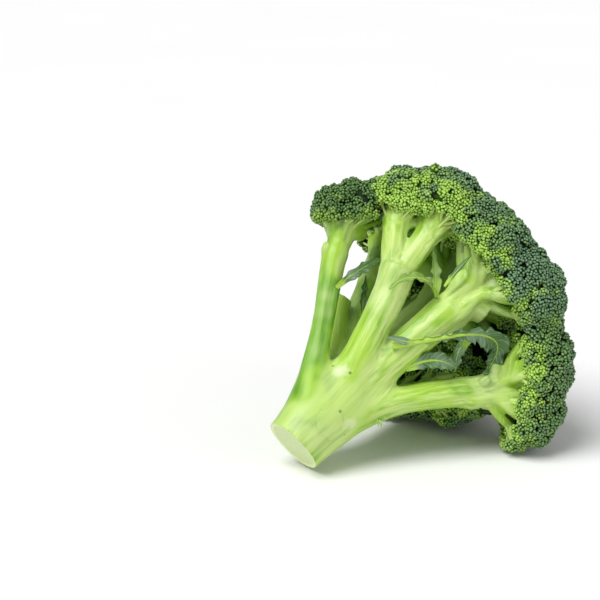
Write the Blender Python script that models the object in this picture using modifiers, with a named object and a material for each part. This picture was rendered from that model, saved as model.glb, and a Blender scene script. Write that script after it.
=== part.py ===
"""A head of broccoli, cut from its plant and lying on its side.

The head is modelled upright, in millimetres of its own frame: the cut end of the stalk at z = 0, the
crown on top. One empty then lays it down, so that it rests on the rim of its cut and on two florets.
"""

import math

import bmesh
import bpy
import numpy as np
from mathutils import Matrix, Vector

MM = 0.001
GAP = 0.3  # clearance between pieces that touch, in mm

# Driving dimensions of the upright head, in mm
STALK_RADIUS = 17.5
STALK_SWELL = 1.2  # how much wider the stalk grows where its branches leave it
STALK_HEIGHT = 58.0
STALK_SIDES = 28
BRANCHING_HEIGHT = 45.0  # the florets face away from this point on the axis
UNDERSIDE = 0.3  # how far below its centre a floret is cut flat, as a share of its radius

TUBE_STEP = 9.0  # distance between the rings of a branch, in mm
LEAF_THICKNESS = 0.8
LEAF_RINGS = 9

# How the head lies, in degrees
LIE_HEADING = 35.6  # which way the stalk's axis points, from +X towards +Y
LIE_RISE = 34.0  # first guess of the axis's slope above the floor
LIE_ROLL = -34.8  # first guess of the head's turn about its own axis

# Each branch, as (x, y, z, radius) at the points of its centre line
BRANCHES = {
    "side": (
        (-3, -3, 10, 8.5), (-14, -8, 26, 7.6), (-31, -11, 50, 6.6), (-49, -12, 76, 6.4), (-54, -12, 85, 6.6),
    ),
    "main": (
        (-2, -5, 34, 10), (-8, -13, 50, 9.5), (-13, -17, 66, 8.6), (-21, -20, 90, 8.6), (-28, -22, 103, 9.2),
    ),
    "core": ((2, -3, 42, 11), (4, -10, 60, 10.5), (6, -16, 84, 9.5), (8, -20, 104, 10)),
    "lower": ((6, -1, 20, 10), (14, -5, 38, 8.8), (24, -9, 56, 8), (37, -9, 74, 7.8), (47, -8, 86, 7.8)),
    "centre": ((0, 2, 48, 10), (0, 7, 80, 9), (2, 9, 108, 8)),
    "far": ((-1, 6, 36, 10), (0, 20, 60, 9), (2, 34, 86, 8)),
    "far_left": ((-4, 3, 38, 8.5), (-17, 12, 66, 7.5), (-29, 20, 98, 6.5)),
    "far_low": ((3, 6, 24, 9), (12, 23, 42, 8), (18, 38, 58, 7.5)),
}

# Each floret: the branch that carries it, its centre (x, y, z), its radius and the radius of its twig
FLORETS = {
    "side_tip": ("side", (-66, -12, 101), 16, 3.6),
    "side_top": ("side", (-57, -6, 112), 16, 4.2),
    "main_left": ("main", (-44, -16, 128), 21, 5.4),
    "main_right": ("main", (-30, -23, 140), 20.5, 5.4),
    "core_top": ("core", (-2, -26, 138), 24, 6.5),
    "core_right": ("core", (27, -26, 133), 25, 7.5),
    "lower_top": ("lower", (56, -14, 118), 23, 5),
    "lower_end": ("lower", (71, -2, 100), 23, 6.5),
    "centre_top": ("centre", (0, 12, 142), 25, 6),
    "centre_left": ("centre", (-22, 8, 137), 22, 5),
    "centre_right": ("centre", (34, 18, 132), 25, 6),
    "far_left_top": ("far_left", (-38, 28, 131), 22, 5),
    "far_left_back": ("far_left", (-15, 40, 128), 20, 4.5),
    "far_top": ("far", (4, 50, 118), 26, 6),
    "far_back": ("far", (-8, 60, 96), 22, 5),
    "far_right": ("far", (42, 48, 108), 24, 5),
    "low_end": ("far_low", (23, 54, 81), 19.5, 5),
    "low_front": ("far_low", (41, 29, 90), 20, 4.5),
}

# Each small leaf: the points (x, y, z) of its midrib, its greatest width and the way its upper face looks
LEAVES = {
    "side": (((-40, -18.5, 70), (-40, -20, 79), (-37, -19, 94)), 4.5, (0.5, -1, -0.3)),
    "side_back": (((-20, -3, 72), (-27, -1, 80), (-34, 2, 92)), 4, (0.8, -1, 0)),
    "fork_curled": (
        ((-3, -25, 101), (-10, -28, 101), (-17, -31.5, 98), (-20, -32.5, 91), (-22, -31.5, 84)),
        5.5,
        (-0.4, -0.6, 1),
    ),
    "fork_upright": (((-5, -24, 104), (-12, -23, 110), (-20, -24, 116)), 5, (0.5, -1, 0.2)),
    "core_sliver": (((-3, -31, 107), (-5, -34, 115), (-5, -38, 123)), 3, (-1, -0.6, 0)),
    "core_long": (
        ((2, -25, 68), (14, -28, 86), (25, -27, 104), (36, -19, 109), (42, -15, 101)),
        9,
        (0.6, -0.8, -0.7),
    ),
    "core_short": (((14, -16, 70), (19, -19, 79), (29, -17, 84)), 6.5, (0.3, -1, 0.2)),
    "core_hanging": (((27, -13, 100), (26, -13, 92), (31, -13, 86)), 5, (0.3, -1, 0)),
}

# A side shoot that was trimmed off short, as a branch is given
SHOOT_STUB = ((-8, 1, 36, 6.5), (-22, 5, 56, 6), (-32, 8, 71, 5.8), (-34, 8, 78, 4.4))

# Buds left in the axils of leaves: centre (x, y, z) and radius
AXIL_BUDS = {
    "axil_bud_side": ((-58.5, -12.5, 80), 2.8),
    "axil_bud_lower": ((46, -16, 90), 3.2),
}

# Finishes: base colour, roughness
STEM_GREEN = ((0.47, 0.66, 0.15), 0.42)
BUD_GREEN = ((0.055, 0.13, 0.05), 0.6)
LEAF_GREEN = ((0.12, 0.27, 0.11), 0.5)


def clear_scene():
    for old in list(bpy.data.objects):
        bpy.data.objects.remove(old, do_unlink=True)


def new_collection(name):
    made = bpy.data.collections.new(name)
    bpy.context.scene.collection.children.link(made)
    return made


def material(name, colour, roughness):
    made = bpy.data.materials.new(name)
    made.use_nodes = True
    shader = made.node_tree.nodes["Principled BSDF"]
    shader.inputs["Base Color"].default_value = (*colour, 1)
    shader.inputs["Roughness"].default_value = roughness
    return made


def put(name, mesh, collection, finish=None):
    """A mesh as an object of a collection, riding on the head."""
    piece = bpy.data.objects.new(name, mesh)
    collection.objects.link(piece)
    if finish:
        mesh.materials.append(finish)
    return piece


def smooth_route(knots, step):
    """Rows about one step apart on the Catmull-Rom curve through the knots; x, y and z come first in each."""
    knots = np.array(knots, float)
    knots = np.vstack([2 * knots[0] - knots[1], knots, 2 * knots[-1] - knots[-2]])
    rows = []
    for before, start, end, after in zip(knots, knots[1:], knots[2:], knots[3:]):
        count = max(1, round(float(np.linalg.norm((end - start)[:3])) / step))
        for t in np.arange(count) / count:
            rows.append(
                0.5 * (2 * start + (end - before) * t
                       + (2 * before - 5 * start + 4 * end - after) * t**2
                       + (3 * start - before - 3 * end + after) * t**3)
            )
    rows.append(knots[-2])
    return np.array(rows)


def tube_mesh(name, rows, grow=0.0):
    """A tapered tube through the rows as a closed mesh, its surface and its ends moved out by grow."""
    rows = rows.copy()
    for end, inner in ((0, 1), (-1, -2)):
        outward = rows[end, :3] - rows[inner, :3]
        rows[end, :3] += outward / np.linalg.norm(outward) * grow
    curve = bpy.data.curves.new(name, "CURVE")
    curve.dimensions = "3D"
    curve.bevel_depth = MM
    curve.bevel_resolution = 3
    curve.use_fill_caps = True
    spline = curve.splines.new("POLY")
    spline.points.add(len(rows) - 1)
    for point, (x, y, z, radius) in zip(spline.points, rows):
        point.co = (x * MM, y * MM, z * MM, 1)
        point.radius = radius + grow
    guide = bpy.data.objects.new(name, curve)
    bpy.context.scene.collection.objects.link(guide)
    bpy.context.view_layer.update()
    graph = bpy.context.evaluated_depsgraph_get()
    mesh = bpy.data.meshes.new_from_object(guide.evaluated_get(graph))
    bpy.data.objects.remove(guide)
    welded = bmesh.new()
    welded.from_mesh(mesh)
    bmesh.ops.remove_doubles(welded, verts=welded.verts, dist=0.01 * MM)
    bmesh.ops.recalc_face_normals(welded, faces=welded.faces)
    welded.to_mesh(mesh)
    welded.free()
    return mesh


def stalk_mesh(grow=0.0):
    """The turned stalk: straight above its cut, swollen where the branches leave it and closed above."""
    profile = (
        (STALK_HEIGHT, 0.0),
        (STALK_HEIGHT, 0.45),
        (STALK_HEIGHT * 0.86, 0.85),
        (STALK_HEIGHT * 0.7, STALK_SWELL),
        (STALK_HEIGHT * 0.5, STALK_SWELL * 1.02),
        (STALK_HEIGHT * 0.3, STALK_SWELL * 0.92),
        (STALK_HEIGHT * 0.12, 1.0),
        (0.0, 1.0),
        (0.0, 0.0),
    )
    outline = bmesh.new()
    corners = []
    for height, share in profile:
        lift = grow if height > 0 else -grow
        reach = share * STALK_RADIUS + grow if share else 0.0
        corners.append(outline.verts.new((reach * MM, 0, (height + lift) * MM)))
    edges = [outline.edges.new(pair) for pair in zip(corners, corners[1:])]
    bmesh.ops.spin(
        outline, geom=corners + edges, cent=(0, 0, 0), axis=(0, 0, 1),
        angle=2 * math.pi, steps=STALK_SIDES, use_merge=True,
    )
    bmesh.ops.remove_doubles(outline, verts=outline.verts, dist=0.01 * MM)
    bmesh.ops.recalc_face_normals(outline, faces=outline.faces)
    mesh = bpy.data.meshes.new("stalk")
    outline.to_mesh(mesh)
    outline.free()
    return mesh


def cut_flat(ball, point, normal):
    """Removes what lies beyond the plane and closes the cut."""
    everything = list(ball.verts) + list(ball.edges) + list(ball.faces)
    cut = bmesh.ops.bisect_plane(
        ball, geom=everything, plane_co=point, plane_no=normal, clear_outer=True
    )
    rim = [item for item in cut["geom_cut"] if isinstance(item, bmesh.types.BMEdge)]
    if rim:
        bmesh.ops.holes_fill(ball, edges=rim)


def floret_mesh(name):
    """A ball of buds, cut flat below and where the balls of the florets round it begin."""
    _, centre, radius, _ = FLORETS[name]
    centre = Vector(centre)
    outward = (centre - Vector((0, 0, BRANCHING_HEIGHT))).normalized()
    ball = bmesh.new()
    bmesh.ops.create_icosphere(ball, subdivisions=3, radius=radius * MM)
    cut_flat(ball, -outward * radius * UNDERSIDE * MM, -outward)
    for other, (_, other_centre, other_radius, _) in FLORETS.items():
        away = Vector(other_centre) - centre
        distance = away.length
        if other == name or distance > radius + other_radius + GAP:
            continue
        # The balls meet in the plane where both are equally far inside
        meet = (distance**2 + radius**2 - other_radius**2) / (2 * distance)
        away.normalize()
        cut_flat(ball, away * (meet - GAP / 2) * MM, away)
    mesh = bpy.data.meshes.new(name)
    ball.to_mesh(mesh)
    ball.free()
    return mesh


def twig_route(name):
    """The line of a twig: on from its branch, then bending to the middle of its floret."""
    branch, centre, _, radius = FLORETS[name]
    below, fork = (Vector(point[:3]) for point in BRANCHES[branch][-2:])
    centre = Vector(centre)
    heading = (fork - below).normalized()
    start = fork - heading * radius * 0.3
    bend = fork + heading * (centre - fork).length * 0.2 + (centre - fork) * 0.25
    return smooth_route(((*start, radius), (*bend, radius), (*centre, radius * 0.9)), TUBE_STEP)


def twig_mesh(name):
    """A twig, cut flat where the twigs that leave the same fork begin."""
    branch, centre, _, _ = FLORETS[name]
    fork = Vector(BRANCHES[branch][-1][:3])
    own = (Vector(centre) - fork).normalized()
    twig = bmesh.new()
    twig.from_mesh(tube_mesh(name, twig_route(name)))
    for other, (other_branch, other_centre, _, _) in FLORETS.items():
        if other != name and other_branch == branch:
            away = ((Vector(other_centre) - fork).normalized() - own).normalized()
            cut_flat(twig, (fork - away * GAP / 2) * MM, away)
    mesh = bpy.data.meshes.new(name)
    twig.to_mesh(mesh)
    twig.free()
    return mesh


def leaf_mesh(name):
    """A lance-shaped blade swept along its midrib, folded a little upwards along it."""
    points, width, facing = LEAVES[name]
    rows = smooth_route(points, 2.0)
    midrib = rows[np.linspace(0, len(rows) - 1, LEAF_RINGS).round().astype(int)]
    along = np.gradient(midrib, axis=0)
    grid = bmesh.new()
    bmesh.ops.create_grid(grid, x_segments=2, y_segments=LEAF_RINGS - 1, size=1)
    for vert in grid.verts:
        ring = round((vert.co.y + 1) / 2 * (LEAF_RINGS - 1))
        share = ring / (LEAF_RINGS - 1)
        tangent = Vector(along[ring]).normalized()
        side = tangent.cross(Vector(facing)).normalized()
        up = side.cross(tangent)
        half = width / 2 * (0.16 + 0.84 * math.sin(math.pi * share**0.8))
        place = Vector(midrib[ring]) + side * vert.co.x * half + up * abs(vert.co.x) * half * 0.45
        vert.co = place * MM
    bmesh.ops.recalc_face_normals(grid, faces=grid.faces)
    mesh = bpy.data.meshes.new(name)
    grid.to_mesh(mesh)
    grid.free()
    return mesh


def ball_mesh(name, radius):
    ball = bmesh.new()
    bmesh.ops.create_icosphere(ball, subdivisions=2, radius=radius * MM)
    mesh = bpy.data.meshes.new(name)
    ball.to_mesh(mesh)
    ball.free()
    return mesh


def corners_of(piece):
    """The piece's evaluated corners in the head's own frame, in metres."""
    graph = bpy.context.evaluated_depsgraph_get()
    mesh = piece.evaluated_get(graph).to_mesh()
    corners = np.empty(len(mesh.vertices) * 3, np.float32)
    mesh.vertices.foreach_get("co", corners)
    piece.evaluated_get(graph).to_mesh_clear()
    return corners.reshape(-1, 3).astype(float) + np.array(piece.location)


def boxes_meet(one, other):
    one, other = corners_of(one), corners_of(other)
    return bool((one.min(0) < other.max(0)).all() and (other.min(0) < one.max(0)).all())


def keep_clear(piece, cutters):
    """Cuts the piece back by each cutter that reaches it."""
    for cutter in cutters:
        if boxes_meet(piece, cutter):
            cut = piece.modifiers.new(f"clear_of_{cutter.name}", "BOOLEAN")
            cut.operation = "DIFFERENCE"
            cut.object = cutter


def lying_matrix(heading, rise, roll):
    """Turns the upright head about its axis, tips it over and turns it round on the floor, in degrees."""
    turns = ((heading, "Z"), (90 - rise, "Y"), (roll, "Z"))
    laid = Matrix.Identity(4)
    for degrees, axis in turns:
        laid = laid @ Matrix.Rotation(math.radians(degrees), 4, axis)
    return laid


def rest_on_floor(pieces, rim, floret_ends):
    """The matrix that lays the head on the stalk's rim and two florets, centred over the origin."""
    rise, roll = LIE_RISE, LIE_ROLL
    for _ in range(40):
        turn = np.array(lying_matrix(LIE_HEADING, rise, roll))[:3, :3]
        low_rim = (corners_of(rim) @ turn.T)[:, 2].min()
        lows = [(corners_of(end) @ turn.T)[:, 2].min() for end in floret_ends]
        # A degree more of either turn moves these lows by about a millimetre
        rise += (low_rim - sum(lows) / 2) / MM * 0.6
        roll += (lows[0] - lows[1]) / MM * 0.6
    laid = lying_matrix(LIE_HEADING, rise, roll)
    turn = np.array(laid)[:3, :3]
    placed = np.vstack([corners_of(piece) @ turn.T for piece in pieces])
    low, high = placed.min(0), placed.max(0)
    return Matrix.Translation((-(low[0] + high[0]) / 2, -(low[1] + high[1]) / 2, -low[2])) @ laid


def main():
    clear_scene()
    head = new_collection("broccoli_head")
    cutters = new_collection("cutters")
    stem_green = material("stem_green", *STEM_GREEN)
    bud_green = material("bud_green", *BUD_GREEN)
    leaf_green = material("leaf_green", *LEAF_GREEN)
    pieces, spaces = [], []

    def add(name, mesh, finish, space=None, location=(0, 0, 0), beside=()):
        piece = put(name, mesh, head, finish)
        piece.location = Vector(location) * MM
        bpy.context.view_layer.update()
        keep_clear(piece, [cutter for cutter in spaces if cutter.name not in beside])
        pieces.append(piece)
        if space:
            cutter = put(f"{name}_space", space, cutters)
            cutter.hide_render = True
            cutter.display_type = "WIRE"
            spaces.append(cutter)
        bpy.context.view_layer.update()
        return piece

    def add_tube(name, knots):
        rows = smooth_route(knots, TUBE_STEP)
        add(name, tube_mesh(name, rows), stem_green, tube_mesh(f"{name}_space", rows, GAP))

    stalk = add("stalk", stalk_mesh(), stem_green, stalk_mesh(GAP))
    for name, knots in BRANCHES.items():
        add_tube(f"branch_{name}", knots)
    add_tube("shoot_stub", SHOOT_STUB)
    for name, (branch, _, _, _) in FLORETS.items():
        beside = [f"twig_{other}_space" for other, facts in FLORETS.items() if facts[0] == branch]
        space = tube_mesh(f"twig_{name}_space", twig_route(name), GAP)
        add(f"twig_{name}", twig_mesh(name), stem_green, space, beside=beside)
    for name, (centre, radius) in AXIL_BUDS.items():
        add(name, ball_mesh(name, radius), bud_green, location=centre)
    florets = {}
    for name, (_, centre, _, _) in FLORETS.items():
        florets[name] = add(f"floret_{name}", floret_mesh(name), bud_green, location=centre)
    for name in LEAVES:
        leaf = put(f"leaf_{name}", leaf_mesh(name), head, leaf_green)
        skin = leaf.modifiers.new("thickness", "SOLIDIFY")
        skin.thickness = LEAF_THICKNESS * MM
        skin.offset = 0
        bpy.context.view_layer.update()
        keep_clear(leaf, spaces)
        pieces.append(leaf)
    bpy.context.view_layer.update()

    lying = bpy.data.objects.new("lying_head", None)
    head.objects.link(lying)
    lying.matrix_world = rest_on_floor(pieces, stalk, (florets["lower_end"], florets["low_end"]))
    for piece in [*pieces, *spaces]:
        piece.parent = lying


main()
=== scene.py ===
"""The looks of a broccoli head that lies on its side, made round the fixed frame of its CAD model.

Everything that grows is worked out in millimetres of the upright head, with the cut end of the stalk at
z = 0 and the crown on top. One matrix then lays each finished mesh down where the frame's nodes lie.
"""

import math

import bmesh
import bpy
import numpy as np
from mathutils import Matrix, Vector, kdtree, noise


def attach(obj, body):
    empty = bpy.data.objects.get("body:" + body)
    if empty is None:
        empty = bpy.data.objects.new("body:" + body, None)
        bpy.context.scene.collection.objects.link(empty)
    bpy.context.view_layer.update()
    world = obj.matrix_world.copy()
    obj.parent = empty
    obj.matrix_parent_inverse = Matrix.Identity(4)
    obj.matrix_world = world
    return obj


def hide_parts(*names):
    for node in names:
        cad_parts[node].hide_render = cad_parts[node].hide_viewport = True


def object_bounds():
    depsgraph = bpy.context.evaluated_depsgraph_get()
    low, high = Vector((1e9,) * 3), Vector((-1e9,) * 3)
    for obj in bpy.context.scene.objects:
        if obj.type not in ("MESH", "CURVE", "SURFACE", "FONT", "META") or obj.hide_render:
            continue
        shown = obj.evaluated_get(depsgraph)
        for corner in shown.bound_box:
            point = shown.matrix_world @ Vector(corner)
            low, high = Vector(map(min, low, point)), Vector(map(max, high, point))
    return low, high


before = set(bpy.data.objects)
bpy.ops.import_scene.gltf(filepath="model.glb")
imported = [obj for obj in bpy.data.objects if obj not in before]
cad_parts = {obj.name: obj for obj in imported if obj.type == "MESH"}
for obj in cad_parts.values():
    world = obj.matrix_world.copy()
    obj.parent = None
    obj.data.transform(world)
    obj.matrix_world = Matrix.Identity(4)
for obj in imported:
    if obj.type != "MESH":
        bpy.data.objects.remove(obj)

CAD_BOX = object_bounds()
MM = 0.001
SEED = 7

# How the upright head is laid down: turns in degrees, and where the middle of its cut comes to lie, in mm
LIE_HEADING = 35.6
LIE_RISE = 34.236
LIE_ROLL = -33.805
CUT_CENTRE = (-65.978, -54.738, 14.418)

# The stalk, as (height, radius) from the cut up, in mm
STALK = ((-20, 17.8), (-3, 17.8), (7, 18.3), (17.4, 20.4), (29, 22), (39, 19.5), (48, 13), (56, 6))
BRANCHING_HEIGHT = 45.0  # the florets face away from this point on the axis

# Each branch, as (x, y, z, radius) at the points of its centre line
BRANCHES = {
    "side": (
        (-4, -3, 8, 9.5), (-16, -8, 26, 8.6), (-31, -11, 50, 6.6),
        (-49, -12, 76, 6.4), (-54, -12, 85, 6.6),
    ),
    "main": (
        (-2, -5, 34, 10), (-8, -13, 50, 9.5), (-13, -17, 66, 8.6),
        (-20.5, -20, 88, 8.8), (-26, -21.5, 99, 9.4),
    ),
    "core": ((2, -3, 42, 11), (4, -10, 60, 10.5), (6, -16, 84, 9.5), (8, -20, 104, 10)),
    "lower": ((6, -1, 20, 10), (14, -5, 38, 8.8), (24, -9, 56, 8), (37, -9, 74, 7.8), (47, -8, 86, 7.8)),
    "centre": ((0, 2, 48, 10), (0, 7, 80, 9), (2, 9, 108, 8)),
    "far": ((-1, 6, 36, 10), (0, 20, 60, 9), (2, 34, 86, 8)),
    "far_left": ((-4, 3, 38, 8.5), (-17, 12, 66, 7.5), (-29, 20, 98, 6.5)),
    "far_low": ((3, 6, 24, 9), (12, 23, 42, 8), (18, 38, 58, 7.5)),
}
TIP_LENGTHS = {"main": 4}  # how far a branch runs on past its fork
OTHER_TIP_LENGTH = 9

# How green each stem is, from 0 for the palest, by the start of its name
GREENNESS = {
    "stalk": 0.35, "branch_side": 1.0, "twig_side": 0.9, "branch_main": 0.3, "twig_main": 0.25,
    "branch_core": 0.2, "twig_core": 0.45, "branch_lower": 0.35, "twig_lower": 0.4, "shoot_stub": 0.3,
}
OTHER_GREENNESS = 0.8

# The rounded stub of a shoot behind the side branch, as (x, y, z, radius)
SHOOT_STUB = ((-8, 1, 36, 6.5), (-22, 5, 56, 6), (-32, 8, 71, 5.8), (-34, 8, 77, 5.2))

# Each floret: its branch, centre (x, y, z), radius, the radius of its twig and how young its buds are
FLORETS = {
    "side_tip": ("side", (-66, -12, 101), 16, 4.2, 0.0),
    "side_top": ("side", (-57, -6, 112), 16, 4.6, 0.0),
    "main_left": ("main", (-44, -16, 128), 21, 5.6, 0.62),
    "main_right": ("main", (-30, -23, 140), 20.5, 5.4, 0.36),
    "core_top": ("core", (-2, -26, 138), 24, 7.5, -0.03),
    "core_right": ("core", (27, -26, 133), 25, 8.5, -0.12),
    "lower_top": ("lower", (56, -14, 118), 23, 6, -0.12),
    "lower_end": ("lower", (71, -2, 100), 23, 7, -0.12),
    "centre_top": ("centre", (0, 12, 142), 25, 7, 0.0),
    "centre_left": ("centre", (-22, 8, 137), 22, 6, 0.0),
    "centre_right": ("centre", (34, 18, 132), 25, 7, 0.0),
    "far_left_top": ("far_left", (-38, 28, 131), 22, 6, 0.0),
    "far_left_back": ("far_left", (-15, 40, 128), 20, 5.5, 0.1),
    "far_top": ("far", (4, 50, 118), 26, 7, 0.0),
    "far_back": ("far", (-8, 60, 96), 22, 6, 0.2),
    "far_right": ("far", (42, 48, 108), 24, 6, 0.0),
    "low_end": ("far_low", (23, 54, 81), 19.5, 6, 0.1),
    "low_front": ("far_low", (41, 29, 90), 20, 5.5, 0.0),
}

# Each leaf: (x, y, z, half its width) along its middle, the way its upper side faces, how ruffled it is,
# and how dark it is
LEAVES = {
    "side": (
        (
            (-41, -17.5, 69, 1.2), (-40.5, -20, 76, 2.2), (-39, -20, 84, 3.0),
            (-37, -18.5, 92, 2.0), (-35, -18, 97, 0.2),
        ),
        (0.5, -1, -0.3), 1.2, 0.9,
    ),
    "side_back": (
        ((-20, -3, 72, 1.2), (-24, -2, 77, 2.4), (-29, 0, 84, 2.4), (-34, 2, 92, 0.3)),
        (0.8, -1, 0), 0.9, 1.0,
    ),
    "fork_curled": (
        (
            (-2, -24, 101.5, 2.4), (-6, -27, 102.5, 3.8), (-12, -30, 101, 4.2), (-17, -32, 97, 3.4),
            (-21, -33, 91, 2.0), (-22, -32, 83, 0.2),
        ),
        (-0.4, -0.8, 0.8), 0.9, 0.55,
    ),
    "fork_upright": (
        ((-4, -24, 102, 2.6), (-8, -24.5, 107, 3.4), (-13, -24, 112, 2.6), (-21, -24, 119, 0.2)),
        (0.5, -1, 0.2), 0.8, 0.5,
    ),
    "core_sliver": (
        ((-3, -30, 106, 0.9), (-4, -33.5, 113, 1.8), (-4.5, -36, 119, 1.5), (-5, -38.5, 125, 0.2)),
        (-1, -0.8, 0), 0.4, 0.9,
    ),
    "core_long": (
        (
            (-1, -23, 66.5, 2.2), (7, -27, 77, 2.0), (15, -29.5, 88, 2.2), (21, -30, 96, 3.4),
            (28, -27, 103.5, 5.4), (35, -22, 108, 6.4), (40, -17, 107, 5.4), (43, -14, 100, 3.2),
            (43.5, -13, 94, 0.4),
        ),
        (0.6, -0.8, -0.7), 2.0, 0.75,
    ),
    "core_torn": (
        ((7, -27, 75.5, 0.6), (2, -28, 71.5, 1.8), (-2, -28, 69, 1.5), (-6, -27, 66.5, 0.2)),
        (0.5, -1, -0.2), 0.7, 0.95,
    ),
    "core_short": (
        (
            (12, -15, 66, 2.2), (17, -18.5, 75, 3.8), (22, -19.5, 80, 4.4),
            (27, -18, 83, 3.0), (31, -15.5, 85, 0.3),
        ),
        (0.3, -1, 0.2), 1.0, 0.72,
    ),
    "core_hanging": (
        ((26, -14, 102, 1.8), (25.5, -14.5, 95, 3.0), (27.5, -14, 90, 3.0), (32, -13, 84, 0.3)),
        (0.3, -1, 0), 1.2, 0.75,
    ),
}
LEAF_THICKNESS = 0.35
LEAF_STEP = 0.8  # from point to point along a leaf
LEAF_ROWS = 13  # points across a leaf
BLADE_START = {"core_long": 34.0}  # how far along it a leaf turns from stem-like to blade
OTHER_BLADE_START = 8
RIB_RADII = {"core_long": 1.7, "core_short": 1.0, "fork_curled": 0.8}  # of the middle rib at its root
OTHER_RIB_RADIUS = 0.4

# Each axil bud: where it sits, the way it points and its length
AXIL_BUDS = {
    "side": ((-57, -13, 80), (-0.8, -0.45, 0.7), 8),
    "lower": ((46, -14, 89), (0.05, -0.7, 0.8), 9),
}
SCALE_COUNT = 3
SCALE_PROFILE = ((0, 0.2), (0.25, 0.3), (0.5, 0.3), (0.75, 0.2), (0.93, 0.1), (1, 0.03))  # of the length

# Marks on the stalk's skin, as (x, y, z) and radius: pale patches, the rings where leaves sat, dark dots
PALE_PATCHES = (((12.5, -13.5, 24.7), 5), ((-10.8, -18, 40), 5), ((-9, 18.5, 25), 5.5), ((19, 6, 30), 4))
SCAR_RINGS = (((5, -17.5, 17), 8), ((-6, 19.5, 15), 7.5), ((-17, 9, 27), 6.5))
DARK_DOTS = (
    ((3.7, -18.7, 24.7), 1.4), ((14.4, -11.5, 19.8), 1.3), ((-6.3, -19.5, 42.1), 1.3),
    ((-15, -15, 39.9), 1.3), ((-19.5, -5.2, 20), 1.3), ((-4, 20, 22), 1.4), ((-12, 17, 18), 1.3),
)

# Where a leaf was torn off, and the way its loose fibres point
TORN_PLACE = (20.4, -9.2, 39.5)
TORN_WAY = (0.71, -0.55, -0.44)
FIBRE_COUNT = 11

# Buds and their groups, in mm
BUD_RADIUS = 0.9
BUD_SIDES = 7
SPRIG_RADIUS = 2.25  # from the middle of a sprig to the middles of its buds
SPRIG_SPACING = 4.9
SPRIG_RISE = 2.0  # how far a sprig's buds stand out of the floret's core
TUFT_REACH = 84  # how far round a sprig its buds stand, in degrees from its top
SPRIG_COUNTS = (14, 15, 16, 15, 16, 17)  # the buds of each kind of sprig
DEEP_GREEN = ("side_tip", "side_top")  # florets whose buds are darker and more grass-green
CORE_SINK = 2.5  # from the middles of the sprigs down to the core

# How sprigs fill a floret: how much finer each pass tries places, and the share of the spacing it keeps
FILL_PASSES = ((1, 0.66), (4, 0.78), (8, 0.72))
BORDER_SLACK = 70  # how far past its borders a floret may fill its creases, in square mm

# The shapes of florets and their lobes
PARTING = {"main": 0.5, "side": 0.62}  # where twigs end below their florets, as a share of the radius
OTHER_PARTING = 0.75
ARM_BENDS = {"main_left": (-39, -20.5, 109), "main_right": (-25.5, -26, 114)}  # the arms of the fork
UNDERSIDE = 0.36  # how far below its centre a floret ends, as a share of its radius
MERGE = 0.2  # how sharply neighbouring florets meet, per mm: lower values fill the creases more
LOBE_COUNT = 15
LOBE_DEPTH = 2.9  # how deep the creases between a floret's lobes are
LOBE_REACH = 112  # how far round a floret its lobes stand, in degrees from its outward axis
CREASE_ANGLE = 24  # from the middle of a lobe to the bottom of its crease, in degrees
LOBE_LEAN = 0.7  # how far sprigs lean away from the middle of their lobe
BULGE = 0.8  # how far lobes stand out of their floret's ball
WANDER_HEIGHT = 0.8  # of the slow unevenness of all florets
WANDER_FINENESS = 0.11
PEDICEL_TOP = 0.3  # the height on a floret up to which pedicels show, as a share of its radius
FLOOR_GAP = 1.2  # between the floor and the florets
GOLDEN_ANGLE = math.pi * (3 - math.sqrt(5))

# The rings of the stalk's cut, from its rim inwards: share of the rim's radius, step into the stalk in mm
CUT_RINGS = (
    (0.985, -0.12), (0.96, 0.0), (0.93, 0.2), (0.84, 0.3), (0.7, 0.2), (0.5, 0.05), (0.25, -0.05),
)

# The skin of the stems
STEM_VOXEL = 0.75
STEM_SHARE = 0.41  # of the skin's faces that are kept
SMOOTH_TOP = 78.0  # the height under which the stems run softly into each other
SMOOTH_FADE = 30.0
SMOOTH_ROUNDS = 70

# How the stem of a lobe runs in its twig: the share of the twig's length, of its radius, of its own width
STRAND_PLACES = ((0.1, 0.8, 0.75), (0.4, 0.96, 0.9), (0.75, 1.08, 0.95))

# The streaks where stems join, which spread like a fan
FAN_FOOT = 15.0  # the height that the branches seem to come from
FAN_START = 55.0  # the height from which the streaks spread
FAN_FINENESS = 46.0

lay_down = (
    Matrix.Translation(Vector(CUT_CENTRE) * MM)
    @ Matrix.Rotation(math.radians(LIE_HEADING), 4, "Z")
    @ Matrix.Rotation(math.radians(90 - LIE_RISE), 4, "Y")
    @ Matrix.Rotation(math.radians(LIE_ROLL), 4, "Z")
    @ Matrix.Scale(MM, 4)
)
FLOOR_UP = (lay_down.to_3x3().inverted() @ Vector((0, 0, 1))).normalized()


# --- Helpers for meshes ---

def add_piece(name, mesh, material, slot, *nodes):
    """Lays the mesh down as a piece of the head that stands for these nodes of the frame."""
    mesh.transform(lay_down)
    mesh.materials.append(material)
    mesh.shade_smooth()
    piece = bpy.data.objects.new(name, mesh)
    bpy.context.scene.collection.objects.link(piece)
    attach(piece, "root")
    if nodes:
        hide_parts(*nodes)


def mesh_of(made, name):
    """The finished bmesh as a mesh."""
    mesh = bpy.data.meshes.new(name)
    made.to_mesh(mesh)
    made.free()
    return mesh


def set_attribute(mesh, name, values):
    """A number for each corner point of the mesh, for its material to read."""
    attribute = mesh.attributes.new(name, "FLOAT", "POINT")
    attribute.data.foreach_set("value", np.asarray(values, np.float32))


def points_of(mesh):
    """The mesh's corner points as rows of x, y and z."""
    points = np.empty(len(mesh.vertices) * 3, np.float32)
    mesh.vertices.foreach_get("co", points)
    return points.reshape(-1, 3).astype(float)


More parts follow.
